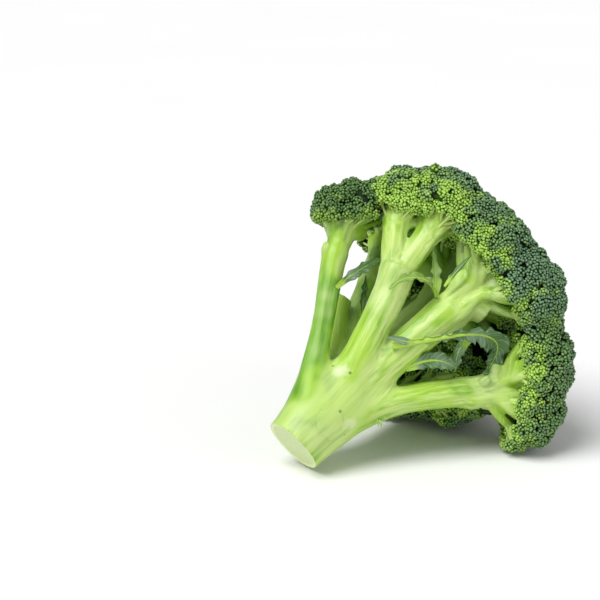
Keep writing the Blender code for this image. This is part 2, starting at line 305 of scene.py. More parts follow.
def smooth_route(knots, step):
    """Rows about one step apart on the smooth curve through the knots; x, y and z come first in each."""
    knots = np.array(knots, float)
    knots = np.vstack([2 * knots[0] - knots[1], knots, 2 * knots[-1] - knots[-2]])
    rows = []
    for before, start, end, after in zip(knots, knots[1:], knots[2:], knots[3:]):
        count = max(1, round(float(np.linalg.norm((end - start)[:3])) / step))
        for t in np.arange(count) / count:
            rows.append(
                0.5 * (2 * start + (end - before) * t
                       + (2 * before - 5 * start + 4 * end - after) * t**2
                       + (3 * start - before - 3 * end + after) * t**3)
            )
    rows.append(knots[-2])
    return np.array(rows)


def tubes_mesh(name, routes, resolution):
    """Closed round tubes along the routes, which are rows of (x, y, z, radius)."""
    curve = bpy.data.curves.new(name, "CURVE")
    curve.dimensions = "3D"
    curve.bevel_depth = 1.0
    curve.bevel_resolution = resolution
    curve.use_fill_caps = True
    for rows in routes:
        spline = curve.splines.new("POLY")
        spline.points.add(len(rows) - 1)
        for point, (x, y, z, radius) in zip(spline.points, rows):
            point.co = (x, y, z, 1)
            point.radius = radius
    guide = bpy.data.objects.new(name, curve)
    bpy.context.scene.collection.objects.link(guide)
    mesh = evaluated_copy(guide, name)
    made = bmesh.new()
    made.from_mesh(mesh)
    bmesh.ops.remove_doubles(made, verts=made.verts, dist=0.001)
    made.to_mesh(mesh)
    made.free()
    return mesh


def evaluated_copy(piece, name):
    """The piece's mesh with its modifiers applied; the piece itself is removed."""
    bpy.context.view_layer.update()
    graph = bpy.context.evaluated_depsgraph_get()
    mesh = bpy.data.meshes.new_from_object(piece.evaluated_get(graph))
    mesh.name = name
    bpy.data.objects.remove(piece)
    return mesh


def joined(name, parts):
    """One mesh of many (mesh, matrix) parts."""
    objects = []
    for mesh, matrix in parts:
        part = bpy.data.objects.new(name, mesh)
        part.matrix_world = matrix
        bpy.context.scene.collection.objects.link(part)
        objects.append(part)
    whole = objects[0]
    whole.data = whole.data.copy()
    whole.data.transform(whole.matrix_world)
    whole.matrix_world = Matrix.Identity(4)
    bpy.context.view_layer.update()
    with bpy.context.temp_override(active_object=whole, selected_editable_objects=objects):
        bpy.ops.object.join()
    mesh = whole.data
    mesh.name = name
    bpy.data.objects.remove(whole)
    return mesh


# --- The plan of the head: florets and their lobes ---

def outward_of(name):
    """The way a floret faces."""
    return (Vector(FLORETS[name][1]) - Vector((0, 0, BRANCHING_HEIGHT))).normalized()


def hub_of(name):
    """The point under a floret where its twig ends and its stems part."""
    branch, centre, radius, _, _ = FLORETS[name]
    return Vector(centre) - outward_of(name) * radius * PARTING.get(branch, OTHER_PARTING)


def borders_of(name):
    """The planes where the balls of neighbouring florets begin, as (point, direction away) pairs."""
    _, centre, radius, _, _ = FLORETS[name]
    centre = Vector(centre)
    borders = []
    for other, (_, other_centre, other_radius, _, _) in FLORETS.items():
        away = Vector(other_centre) - centre
        distance = away.length
        if other == name or distance > radius + other_radius:
            continue
        meet = (distance**2 + radius**2 - other_radius**2) / (2 * distance)
        away.normalize()
        borders.append((centre + away * meet, away))
    return borders


def spread_directions(count, axis, reach, spin):
    """Evenly spread unit vectors, up to reach degrees from the axis."""
    turn = Vector((0, 0, 1)).rotation_difference(axis)
    lowest = math.cos(math.radians(reach))
    directions = []
    for index in range(count):
        height = 1 - (1 - lowest) * (index + 0.5) / count
        flat = math.sqrt(max(0.0, 1 - height**2))
        angle = spin + index * GOLDEN_ANGLE
        directions.append(turn @ Vector((flat * math.cos(angle), flat * math.sin(angle), height)))
    return directions


def off_floor(point, gap):
    """The point, lifted where it is nearer to the floor than the gap."""
    return point + FLOOR_UP * max(0.0, gap - (lay_down @ point).z / MM)


def merged_surface(point):
    """How far the point is outside the florets' balls, which run together in creases, and the way out."""
    nearest = [(point - Vector(centre), radius) for _, centre, radius, _, _ in FLORETS.values()]
    weights = [math.exp(-MERGE * (away.length - radius)) for away, radius in nearest]
    outside = -math.log(sum(weights)) / MERGE
    way_out = sum((away.normalized() * weight for (away, _), weight in zip(nearest, weights)), Vector())
    return outside, way_out.normalized()


def surface_point(name, direction, lobes):
    """A floret's surface in a direction from its centre: the point, the way out, how sunken it is."""
    _, centre, radius, _, _ = FLORETS[name]
    centre, outward = Vector(centre), outward_of(name)
    height = direction.dot(outward)
    nearest = min(lobes, key=lambda lobe: -lobe.dot(direction))
    apart = math.degrees(math.acos(min(1.0, nearest.dot(direction))))
    crease = LOBE_DEPTH * min(1.0, (apart / CREASE_ANGLE) ** 2)
    reach = radius if height > -UNDERSIDE else radius * UNDERSIDE / -height
    point = centre + direction * reach
    way_out = direction
    if height > -UNDERSIDE * 0.6:
        for _ in range(4):
            outside, way_out = merged_surface(point)
            point = point - direction * outside
    else:
        way_out = (direction * 0.6 - outward).normalized()
    way_out = (way_out + (direction - nearest) * LOBE_LEAN).normalized()
    wander = noise.noise(point * WANDER_FINENESS) * WANDER_HEIGHT
    point = off_floor(point + direction * (BULGE + wander - crease), FLOOR_GAP)
    return point, way_out, crease / LOBE_DEPTH


def belongs_to(name, point, slack):
    """Whether the point lies on the floret's own side of its borders, or past them within the slack."""
    _, centre, radius, _, _ = FLORETS[name]
    own = (point - Vector(centre)).length_squared - radius**2 - slack
    others = (facts for other, facts in FLORETS.items() if other != name)
    return all(own < (point - Vector(facts[1])).length_squared - facts[2] ** 2 for facts in others)


def sprig_places(name, lobes, taken, chance):
    """Where sprigs stand on a floret, as (place, way out, height on the floret, how sunken) rows.

    The places are added to the ones already taken on other florets, which they keep clear of.
    """
    _, centre, radius, twig_radius, _ = FLORETS[name]
    centre, outward = Vector(centre), outward_of(name)
    count = round(4 * math.pi * radius**2 / (0.866 * SPRIG_SPACING**2))
    near = [place for place in taken if (place - centre).length < radius + 12]
    found = []
    for finer, gap in FILL_PASSES:
        for direction in spread_directions(count * finer, outward, 180, chance.uniform(0, 6.28)):
            direction = (direction + Vector(chance.uniform(-0.07, 0.07, 3))).normalized()
            height = direction.dot(outward)
            if height < -UNDERSIDE:
                aside = (direction - outward * height).length / -height * UNDERSIDE * radius
                if finer > 1 or aside < twig_radius + 0.25 * radius or chance.uniform(0, 1) < 0.35:
                    continue
            point, way_out, sunken = surface_point(name, direction, lobes)
            place = off_floor(point - way_out * SPRIG_RISE, SPRIG_RADIUS + 1.5 + way_out.dot(FLOOR_UP))
            if not belongs_to(name, point, BORDER_SLACK if finer > 1 else 0):
                continue
            if any((place - other).length < SPRIG_SPACING * gap for other in near):
                continue
            taken.append(place)
            near.append(place)
            found.append((place, way_out, height, sunken))
    return found


# --- Buds ---

def bud_mesh():
    """One closed flower bud: an egg that stands on its narrow base, turned from its outline."""
    outline = ((0, -0.9), (0.72, -0.55), (1.0, 0.15), (0.74, 0.8), (0, 1.12))
    made = bmesh.new()
    corners = [made.verts.new((reach * BUD_RADIUS, 0, height * BUD_RADIUS)) for reach, height in outline]
    edges = [made.edges.new(pair) for pair in zip(corners, corners[1:])]
    bmesh.ops.spin(
        made, geom=corners + edges, cent=(0, 0, 0), axis=(0, 0, 1),
        angle=2 * math.pi, steps=BUD_SIDES, use_merge=True,
    )
    bmesh.ops.remove_doubles(made, verts=made.verts, dist=0.01)
    bmesh.ops.recalc_face_normals(made, faces=made.faces)
    return mesh_of(made, "bud")


def sprig_mesh(bud, count, chance):
    """A rounded tuft of buds over a small core, with the tip and lot values of its points."""
    parts = []
    directions = spread_directions(count, Vector((0, 0, 1)), TUFT_REACH, chance.uniform(0, 6.28))
    for index, direction in enumerate(directions):
        size = 0.78 + 0.2 * (index / count) ** 0.5 + chance.uniform(-0.12, 0.1)
        direction = (direction + Vector(chance.uniform(-0.1, 0.1, 3))).normalized()
        place = direction * SPRIG_RADIUS * chance.uniform(0.92, 1.08)
        place.z -= SPRIG_RADIUS * 0.45
        leaning = direction + Vector(chance.uniform(-0.3, 0.3, 3))
        turn = Vector((0, 0, 1)).rotation_difference(leaning).to_matrix().to_4x4()
        spin = Matrix.Rotation(chance.uniform(0, 6.28), 4, "Z")
        parts.append((bud, Matrix.Translation(place) @ turn @ spin @ Matrix.Scale(size, 4)))
    core = bmesh.new()
    bmesh.ops.create_icosphere(core, subdivisions=1, radius=SPRIG_RADIUS * 0.95)
    core = mesh_of(core, "sprig_core")
    mesh = joined("sprig", [*parts, (core, Matrix.Translation((0, 0, -SPRIG_RADIUS * 0.5)))])
    heights = points_of(bud)[:, 2]
    tips = np.tile((heights - heights.min()) / (heights.max() - heights.min()), count)
    lots = np.repeat(chance.uniform(0, 1, count), len(heights))
    # The core's points take tip 0, which the bud material paints in the darkest shade of the gaps between
    # buds.
    core_points = np.zeros(len(mesh.vertices) - len(tips))
    set_attribute(mesh, "tip", np.concatenate([tips, core_points]))
    set_attribute(mesh, "lot", np.concatenate([lots, core_points + 0.5]))
    return mesh


def core_mesh(name, lobes):
    """The mass under a floret's sprigs, coloured in painted shade; its underside is drawn in, where the
    stems fan out.
    """
    _, centre, radius, _, _ = FLORETS[name]
    centre, outward = Vector(centre), outward_of(name)
    borders = borders_of(name)
    made = bmesh.new()
    bmesh.ops.create_icosphere(made, subdivisions=4, radius=1)
    for vert in made.verts:
        direction = vert.co.normalized()
        height = direction.dot(outward)
        surface, _, _ = surface_point(name, direction, lobes)
        reach = (surface - centre).length - SPRIG_RISE - CORE_SINK
        if height < 0:
            reach = min(reach, radius * 0.1 / -height)
        for point, away in borders:
            slope = direction.dot(away)
            if slope > 0:
                reach = min(reach, (point - centre).dot(away) / slope - 0.6)
        vert.co = centre + direction * max(reach, 2.0)
    mesh = mesh_of(made, "core")
    # A tip of 0.12 gives the core nearly the darkest painted shade of the gaps between buds.
    set_attribute(mesh, "tip", np.full(len(mesh.vertices), 0.12))
    set_attribute(mesh, "lot", np.full(len(mesh.vertices), 0.5))
    return mesh


def floret_piece(name, lobes, places, sprigs, material, chance):
    """All the buds of one floret, over the core that they stand on.

    Buds are the more exposed the higher they sit on an old floret; creases and chance shelter some sprigs.
    """
    _, centre, radius, _, young = FLORETS[name]
    core = core_mesh(name, lobes)
    parts = [(core, Matrix.Identity(4))]
    exposed = [np.zeros(len(core.vertices))]
    for place, way_out, height, sunken in places:
        turn = Vector((0, 0, 1)).rotation_difference(way_out).to_matrix().to_4x4()
        spin = Matrix.Rotation(chance.uniform(0, 6.28), 4, "Z")
        size = Matrix.Scale(chance.uniform(0.95, 1.12), 4)
        sprig = sprigs[int(chance.integers(len(sprigs)))]
        parts.append((sprig, Matrix.Translation(place) @ turn @ spin @ size))
        openness = height - young - 0.55 * sunken + chance.normal(0, 0.3)
        exposed.append(np.full(len(sprig.vertices), openness))
    mesh = joined(f"floret_{name}", parts)
    heights = (points_of(mesh) - np.array(centre, float)) @ np.array(outward_of(name)) / radius - young
    set_attribute(mesh, "exposed", 0.35 * heights + 0.65 * np.concatenate(exposed))
    set_attribute(mesh, "leafy", np.full(len(mesh.vertices), float(name in DEEP_GREEN)))
    add_piece(f"floret_{name}_buds", mesh, material, "bud_green", f"floret_{name}")


# --- Stalk, branches and the stems that fan out below each floret ---

def trunk_routes():
    """The centre lines of the stalk, the branches and the twigs, as rows of (x, y, z, radius)."""
    routes = {"stalk": smooth_route([(0, 0, height, radius) for height, radius in STALK], 3.0)}
    for name, knots in BRANCHES.items():
        below, fork = (Vector(point[:3]) for point in knots[-2:])
        beyond = fork + (fork - below).normalized() * TIP_LENGTHS.get(name, OTHER_TIP_LENGTH)
        routes[f"branch_{name}"] = smooth_route((*knots, (*beyond, knots[-1][3] * 0.5)), 4.0)
    routes["shoot_stub"] = smooth_route(SHOOT_STUB, 4.0)
    for name in FLORETS:
        routes[f"twig_{name}"] = twig_route(name)
    return routes


def twig_route(name):
    """The centre line of the twig from its branch's end to under its floret."""
    branch, _, _, radius, _ = FLORETS[name]
    below, fork = (Vector(point[:3]) for point in BRANCHES[branch][-2:])
    hub = hub_of(name)
    heading = (fork - below).normalized()
    start = fork - heading * 12
    bend = fork + heading * (hub - fork).length * 0.25 + (hub - fork) * 0.3
    if name in ARM_BENDS:
        bend = Vector(ARM_BENDS[name])
    return smooth_route(((*start, radius), (*bend, radius), (*hub, radius * 0.85)), 3.0)


def strand_routes(name, lobes, chance):
    """The stem of each lobe: it runs in the skin of its twig, then bends away to its lobe."""
    _, centre, radius, twig_radius, _ = FLORETS[name]
    centre, hub = Vector(centre), hub_of(name)
    twig = [Vector(row[:3]) for row in twig_route(name)]
    routes = []
    for lobe in lobes:
        foot = centre + lobe * radius * 0.55
        knots = []
        thick = chance.uniform(2.4, 3.1) * (radius / 22)
        for share, out, width in STRAND_PLACES:
            index = round(share * (len(twig) - 1))
            heading = (twig[min(index + 1, len(twig) - 1)] - twig[index - 1]).normalized()
            aside = (foot - hub) - heading * (foot - hub).dot(heading)
            aside = aside.normalized() * min(1.0, aside.length / (radius * 0.7))
            knots.append((*(twig[index] + aside * twig_radius * out), thick * width))
        parting = Vector(knots[-1][:3])
        middle = parting.lerp(foot, 0.55) - (hub - Vector(twig[0])).normalized() * 1.2
        knots.append((*middle, thick * 0.9))
        knots.append((*foot, thick * 0.7))
        routes.append(smooth_route(knots, 3.0))
    return routes


def pedicel_routes(strands, lobes, name, places, chance):
    """Thin stems that leave the strands and carry the sprigs at a floret's rim and underside."""
    centre = Vector(FLORETS[name][1])
    routes = []
    for place, way_out, height, _ in places:
        if height > PEDICEL_TOP:
            continue
        direction = (place - centre).normalized()
        nearest = max(range(len(lobes)), key=lambda index: lobes[index].dot(direction))
        rows = strands[nearest]
        root = Vector(rows[int(len(rows) * chance.uniform(0.66, 0.9))][:3])
        end = place - way_out * 0.8
        middle = root * 0.45 + end * 0.55 - way_out * (end - root).length * 0.12
        thick = chance.uniform(0.65, 1.0)
        knots = ((*root, thick * 1.4), (*middle, thick), (*end, thick * 0.95))
        routes.append(smooth_route(knots, 2.2))
    return routes


def grown_together(routes):
    """One skin round all the routes, in which the stems run into each other as they do on the plant."""
    piece = bpy.data.objects.new("stems", tubes_mesh("stems", routes, 4))
    bpy.context.scene.collection.objects.link(piece)
    skin = piece.modifiers.new("skin", "REMESH")
    skin.mode = "VOXEL"
    skin.voxel_size = STEM_VOXEL
    relax = piece.modifiers.new("relax", "SMOOTH")
    relax.factor = 0.5
    relax.iterations = 4
    fewer = piece.modifiers.new("fewer", "DECIMATE")
    fewer.ratio = STEM_SHARE
    return evaluated_copy(piece, "stem")


def grain_along(points, routes):
    """For each point: two numbers across its nearest stem, one along it, and how green that stem is."""
    tree = kdtree.KDTree(sum(len(rows) for rows in routes.values()))
    frames = []
    for name, rows in routes.items():
        fitting = (green for part, green in GREENNESS.items() if name.startswith(part))
        green = next(fitting, OTHER_GREENNESS)
        places = [Vector(row[:3]) for row in rows]
        length = 0.0
        across = None
        for index, place in enumerate(places):
            heading = (places[min(index + 1, len(places) - 1)] - places[max(index - 1, 0)]).normalized()
            if across is None:
                across = heading.orthogonal().normalized()
            else:
                length += (place - places[index - 1]).length
                across = (across - heading * across.dot(heading)).normalized()
            tree.insert(place, len(frames))
            frames.append((place, heading, across, heading.cross(across), length, rows[index][3], green))
    tree.balance()
    grain = np.empty((len(points), 4))
    for index, point in enumerate(points):
        point = Vector(point)
        best = min(tree.find_n(point, 4), key=lambda found: found[2] - frames[found[1]][5])
        place, heading, across, up, length, _, green = frames[best[1]]
        offset = point - place
        grain[index] = offset.dot(across), offset.dot(up), length + offset.dot(heading), green
    return grain


def edge_ends(mesh):
    """The numbers of the points at the two ends of the mesh's edges, as two rows."""
    ends = np.empty(len(mesh.edges) * 2, np.int32)
    mesh.edges.foreach_get("vertices", ends)
    return ends.reshape(-1, 2).T


def steadiness(grain, points, mesh, rounds):
    """1 where the grain runs on evenly, down to 0 where one stem's grain meets another's."""
    one, other = edge_ends(mesh)
    jumps = np.linalg.norm(grain[one, :3] - grain[other, :3], axis=1)
    lengths = np.linalg.norm(points[one] - points[other], axis=1)
    rough = np.maximum(0, jumps / np.maximum(lengths, 0.05) - 2.2)
    spoilt = np.zeros(len(points))
    np.maximum.at(spoilt, one, rough)
    np.maximum.at(spoilt, other, rough)
    for _ in range(rounds):
        reach = np.maximum(spoilt[one], spoilt[other])
        np.maximum.at(spoilt, one, reach)
        np.maximum.at(spoilt, other, reach)
    return np.clip(1 - spoilt, 0, 1)


def relaxed(values, mesh, rounds):
    """The values averaged over neighbouring points of the mesh."""
    one, other = edge_ends(mesh)
    count = np.bincount(np.concatenate([one, other]), minlength=len(values))[:, None]
    for _ in range(rounds):
        total = np.empty_like(values)
        for column in range(values.shape[1]):
            total[:, column] = np.bincount(one, values[other, column], len(values))
            total[:, column] += np.bincount(other, values[one, column], len(values))
        values = 0.5 * values + 0.5 * total / np.maximum(count, 1)
    return values


def cut_end(mesh):
    """Cuts the stalk off flat, rounds the rim a little and sinks the middle; returns the rim's radius."""
    made = bmesh.new()
    made.from_mesh(mesh)
    everything = list(made.verts) + list(made.edges) + list(made.faces)
    cut = bmesh.ops.bisect_plane(
        made, geom=everything, plane_co=(0, 0, 0), plane_no=(0, 0, -1), clear_outer=True,
    )
    edges = [item for item in cut["geom_cut"] if isinstance(item, bmesh.types.BMEdge)]
    faces = bmesh.ops.holes_fill(made, edges=edges)["faces"]
    rim = max(vert.co.xy.length for edge in edges for vert in edge.verts)
    before = 1.0
    for share, sink in CUT_RINGS:
        added = bmesh.ops.extrude_face_region(made, geom=faces, use_keep_orig=False)["geom"]
        verts = [item for item in added if isinstance(item, bmesh.types.BMVert)]
        bmesh.ops.delete(made, geom=faces, context="FACES_ONLY")
        faces = [item for item in added if isinstance(item, bmesh.types.BMFace)]
        bmesh.ops.scale(made, verts=verts, vec=(share / before, share / before, 1))
        bmesh.ops.translate(made, verts=verts, vec=(0, 0, sink))
        before = share
    bmesh.ops.poke(made, faces=faces)
    made.to_mesh(mesh)
    made.free()
    return rim


def stem_piece(routes, strands, material):
    """Stalk, branches and stems in one skin, with its grain and the mask of its cut."""
    mesh = grown_together([*routes.values(), *strands])
    points = points_of(mesh)
    flowing = np.clip((SMOOTH_TOP - points[:, 2:]) / SMOOTH_FADE, 0, 1)
    points += flowing * (relaxed(points, mesh, SMOOTH_ROUNDS) - points)
    mesh.vertices.foreach_set("co", points.ravel())
    rim = cut_end(mesh)
    points = points_of(mesh)
    grain = grain_along(points, routes)
    steady = steadiness(grain, points, mesh, 3)
    grain = relaxed(np.column_stack([grain, steady]), mesh, 12)
    for column, name in enumerate(("across", "up", "along", "green", "steady")):
        set_attribute(mesh, name, grain[:, column])
    depth = np.maximum(points[:, 2:], FAN_START) - FAN_FOOT
    fan = points[:, :2] / depth * FAN_FINENESS
    set_attribute(mesh, "fan_across", fan[:, 0])
    set_attribute(mesh, "fan_up", fan[:, 1])
    set_attribute(mesh, "fan_along", points[:, 2])
    normals = np.empty(len(points) * 3, np.float32)
    mesh.vertices.foreach_get("normal", normals)
    facing_down = normals.reshape(-1, 3)[:, 2] < -0.6
    set_attribute(mesh, "cut", (points[:, 2] < 1.5) & facing_down)
    set_attribute(mesh, "rim", np.linalg.norm(points[:, :2], axis=1) / rim)
    too_low = 0.1 - (points @ np.array(lay_down.to_3x3())[2] / MM + CUT_CENTRE[2])
    points += np.maximum(0, too_low)[:, None] * np.array(FLOOR_UP)
    mesh.vertices.foreach_set("co", points.ravel())
    stem_nodes = [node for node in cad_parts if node.startswith(("branch_", "twig_"))]
    add_piece("stem", mesh, material, "stem_green", "stalk", "shoot_stub", *stem_nodes)


# --- Leaves and axil buds ---

def leaf_mesh(name, chance):
    """A ruffled blade, folded along its middle rib; it knows its own length, breadth and tone."""
    knots, upper_side, ruffle, dark = LEAVES[name]
    rows = smooth_route(knots, LEAF_STEP)
    places = [Vector(row[:3]) for row in rows]
    widths = np.maximum(rows[:, 3], 0.15)
    upper_side = Vector(upper_side).normalized()
    phase = chance.uniform(0, 6.28, 3)
    made = bmesh.new()
    bmesh.ops.create_grid(made, x_segments=len(rows) - 1, y_segments=LEAF_ROWS - 1, size=1)
    run = {}
    for vert in made.verts:
        index = round((vert.co.x + 1) / 2 * (len(rows) - 1))
        edge = vert.co.y
        heading = (places[min(index + 1, len(rows) - 1)] - places[max(index - 1, 0)]).normalized()
        aside = heading.cross(upper_side).normalized()
        rise = aside.cross(heading)
        width = widths[index]
        breadth = min(1.0, width / 3)
        wave = math.sin(index * 0.62 + phase[0] + edge * 1.3)
        wave += 0.6 * math.sin(index * 1.13 + phase[1] - edge * 2)
        blade_start = BLADE_START.get(name, OTHER_BLADE_START)
        bladed = float(np.interp(index * LEAF_STEP, (4, blade_start), (0.1, 1)))
        curl = ruffle * wave * edge**2 * breadth * bladed + abs(edge) * width * 0.28
        notch = 1 + 0.1 * math.sin(index * 0.9 + phase[2] + 2 * edge) * breadth * bladed
        vert.co = places[index] + aside * edge * width * notch + rise * curl
        run[vert.index] = index * LEAF_STEP, edge, dark * (0.35 + 0.65 * bladed), breadth
    values = np.array([run[vert.index] for vert in made.verts])
    mesh = mesh_of(made, name)
    for column, label in enumerate(("run", "edge", "tone", "breadth")):
        set_attribute(mesh, label, values[:, column])
    blade = bpy.data.objects.new(name, mesh)
    bpy.context.scene.collection.objects.link(blade)
    shell = blade.modifiers.new("shell", "SOLIDIFY")
    shell.thickness = LEAF_THICKNESS
    shell.offset = 0
    rounder = blade.modifiers.new("rounder", "SUBSURF")
    rounder.levels = 1
    rounder.render_levels = 1
    blade = evaluated_copy(blade, name)
    rib_radius = RIB_RADII.get(name, OTHER_RIB_RADIUS)
    thins = (1 - np.arange(len(rows)) / len(rows)) ** 1.3
    rib = tubes_mesh("rib", [np.column_stack([rows[:, :3], 0.2 + rib_radius * thins])], 3)
    shares = np.repeat(np.linspace(0, 1, len(rows)), len(rib.vertices) // len(rows))
    shares = np.pad(shares, (0, len(rib.vertices) - len(shares)), "edge")
    set_attribute(rib, "tone", dark * (0.2 + 0.4 * shares))
    return joined(name, [(blade, Matrix.Identity(4)), (rib, Matrix.Identity(4))])


def axil_bud_mesh(name):
    """A closed bud of overlapping scales, which lean apart at their feet and meet at the tip."""
    place, pointing, length = AXIL_BUDS[name]
    place, pointing = Vector(place), Vector(pointing).normalized()
    routes = []
    for direction in spread_directions(SCALE_COUNT, pointing, 32, 1.0):
        bend = (pointing - direction) * length * 0.5
        rows = [
            (*(place + direction * length * (share - 0.3) + bend * share**2), length * width)
            for share, width in SCALE_PROFILE
        ]
        routes.append(smooth_route(rows, 0.5))
    mesh = tubes_mesh(name, routes, 4)
    set_attribute(mesh, "green", np.full(len(mesh.vertices), 0.9))
    return mesh


def torn_fibres(chance):
    """Loose ends of skin where a leaf was torn off under the lower branch."""
    root, way = Vector(TORN_PLACE), Vector(TORN_WAY)
    routes = []
    for _ in range(FIBRE_COUNT):
        start = root + Vector(chance.uniform(-1.8, 1.8, 3))
        end = start + (way + Vector(chance.uniform(-0.8, 0.8, 3))).normalized() * chance.uniform(2.5, 4.5)
        bend = start.lerp(end, 0.5) + Vector(chance.uniform(-0.7, 0.7, 3))
        routes.append(smooth_route(((*start, 0.6), (*bend, 0.4), (*end, 0.12)), 0.7))
    mesh = tubes_mesh("torn_fibres", routes, 2)
    set_attribute(mesh, "green", np.full(len(mesh.vertices), 0.8))
    return mesh


def add_leaves(leaf_skin, stem_skin, chance):
    """The leaves, of which the torn one has no node of its own, and what else grows on the stems."""
    for name in LEAVES:
        nodes = [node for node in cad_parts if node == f"leaf_{name}"]
        add_piece(f"leaf_{name}_blade", leaf_mesh(name, chance), leaf_skin, "leaf_green", *nodes)
    for name in AXIL_BUDS:
        node = f"axil_bud_{name}"
        add_piece(f"{node}_scales", axil_bud_mesh(name), stem_skin, "bud_green", node)
    add_piece("torn_fibres", torn_fibres(chance), stem_skin, "stem_green")


# --- Materials ---

def new_material(name):
    """A new material, its node tree and its shader."""
    made = bpy.data.materials.new(name)
    made.use_nodes = True
    return made, made.node_tree, made.node_tree.nodes["Principled BSDF"]


def feed(node, inputs):
    """Links the node's inputs to other sockets, or sets them to values of their own."""
    for key, value in inputs.items():
        if isinstance(value, bpy.types.NodeSocket):
            node.id_data.links.new(value, node.inputs[key])
        else:
            node.inputs[key].default_value = value


def add_node(tree, kind, inputs, **settings):
    """A new node with these settings and inputs."""
    made = tree.nodes.new(kind)
    for key, value in settings.items():
        setattr(made, key, value)
    feed(made, inputs)
    return made


def place_of(tree):
    """Where a point of the surface lies."""
    return add_node(tree, "ShaderNodeTexCoord", {}).outputs["Object"]


def attribute_of(tree, name):
    return add_node(tree, "ShaderNodeAttribute", {}, attribute_name=name).outputs["Fac"]


def noise_of(tree, vector, scale, detail=2.0, roughness=0.5):
    inputs = {"Vector": vector, "Scale": scale, "Detail": detail, "Roughness": roughness}
    return add_node(tree, "ShaderNodeTexNoise", inputs).outputs["Fac"]


def ranged(tree, value, low, high, new_low=0.0, new_high=1.0):
    """The value, taken smoothly from the range between low and high to the new one."""
    inputs = {"Value": value, "From Min": low, "From Max": high, "To Min": new_low, "To Max": new_high}
    return add_node(tree, "ShaderNodeMapRange", inputs, interpolation_type="SMOOTHSTEP").outputs["Result"]


def calculated(tree, operation, one, other=0.0):
    return add_node(tree, "ShaderNodeMath", {0: one, 1: other}, operation=operation).outputs[0]


def product(tree, one, other):
    return calculated(tree, "MULTIPLY", one, other)


def blended(tree, share, one, other):
    """The first value where the share is 0, the other where it is 1."""
    made = add_node(tree, "ShaderNodeMix", {"Factor": share, "A": one, "B": other}, data_type="FLOAT")
    return made.outputs[0]


def mixed(tree, share, one, other):
    """The first colour where the share is 0, the other where it is 1."""
    made = add_node(tree, "ShaderNodeMix", {"Factor": share}, data_type="RGBA")
    sockets = [number for number, socket in enumerate(made.inputs) if socket.type == "RGBA"]
    for number, colour in zip(sockets, (one, other)):
        feed(made, {number: colour if isinstance(colour, bpy.types.NodeSocket) else (*colour, 1)})
    return next(socket for socket in made.outputs if socket.type == "RGBA")


def bumped(tree, height, strength, distance):
    inputs = {"Height": height, "Strength": strength, "Distance": distance}
    return add_node(tree, "ShaderNodeBump", inputs).outputs["Normal"]


def srgb(red, green, blue):
    """A colour given in the 0 to 255 steps of a screen, as the linear values that shaders take."""
    return tuple((step / 255 / 12.92 if step < 11 else ((step / 255 + 0.055) / 1.055) ** 2.4)
                 for step in (red, green, blue))


def bud_material():
    """Wax-bloomed buds: bluish green where they are exposed, yellow-green where they are sheltered; their
    tips are paler, partly wax bloom and partly painted highlight, and their bases are painted dark as the
    shade in the gaps between buds.
    """
    made, tree, shader = new_material("bud_skin")
    place = place_of(tree)
    tip, lot, exposed, leafy = (attribute_of(tree, name) for name in ("tip", "lot", "exposed", "leafy"))
    patches = noise_of(tree, place, 95, 2, 0.6)
    drift = product(tree, calculated(tree, "SUBTRACT", patches, 0.5), 3.1)
    in_light = ranged(tree, calculated(tree, "ADD", exposed, drift), -0.7, 0.15)
    young = mixed(tree, lot, srgb(100, 152, 36), srgb(164, 206, 76))
    region = calculated(tree, "MAXIMUM", ranged(tree, noise_of(tree, place, 28, 2), 0.35, 0.65), leafy)
    bluish = mixed(tree, lot, srgb(36, 80, 44), srgb(72, 116, 68))
    grassy = mixed(tree, lot, srgb(46, 88, 30), srgb(92, 134, 54))
    grown = mixed(tree, region, bluish, grassy)
    colour = mixed(tree, in_light, young, grown)
    # Bud tips turn paler: partly the buds' own wax bloom, partly a painted highlight.
    waxy = mixed(tree, region, srgb(138, 168, 132), srgb(142, 180, 112))
    bloom = mixed(tree, in_light, srgb(196, 226, 112), waxy)
    colour = mixed(tree, ranged(tree, tip, 0.6, 1.0, 0, 0.7), colour, bloom)
    colour = mixed(tree, product(tree, leafy, 0.4), colour, srgb(36, 80, 16))
    # Painted shade: each bud darkens towards its base, and the cores under the buds darken most, as shade
    # falls in the gaps between buds.
    gap_shade = mixed(tree, in_light, srgb(84, 130, 28), srgb(14, 38, 12))
    colour = mixed(tree, ranged(tree, tip, 0.1, 0.68, 0.95, 0.0), colour, gap_shade)
    feed(shader, {"Base Color": colour})
    skin = ranged(tree, noise_of(tree, place, 900), 0.3, 0.7, 0.38, 0.6)
    feed(shader, {"Roughness": calculated(tree, "MAXIMUM", skin, ranged(tree, tip, 0.4, 0.1))})
    feed(shader, {"Normal": bumped(tree, noise_of(tree, place, 2200, 2), 0.25, 0.0003)})
    return made


def marks(tree, place, spots, softness):
    """1 inside any of the spots, falling to 0 at its radius over this share of the radius."""
    result = 0.0
    for point, radius in spots:
        inputs = {0: place, 1: lay_down @ Vector(point)}
        apart = add_node(tree, "ShaderNodeVectorMath", inputs, operation="DISTANCE").outputs["Value"]
        inside = ranged(tree, apart, radius * MM, radius * MM * (1 - softness))
        result = calculated(tree, "MAXIMUM", inside, result)
    return result


def shaken(tree, place, scale, reach):
    """The place, moved about by noise within reach, so that shapes drawn from it aren't even."""
    wander = add_node(tree, "ShaderNodeTexNoise", {"Vector": place, "Scale": scale, "Detail": 3})
    inputs = {0: wander.outputs["Color"], 1: (2 * reach,) * 3, 2: place}
    moved = add_node(tree, "ShaderNodeVectorMath", inputs, operation="MULTIPLY_ADD")
    inputs = {0: moved.outputs[0], 1: (reach,) * 3}
    return add_node(tree, "ShaderNodeVectorMath", inputs, operation="SUBTRACT").outputs[0]


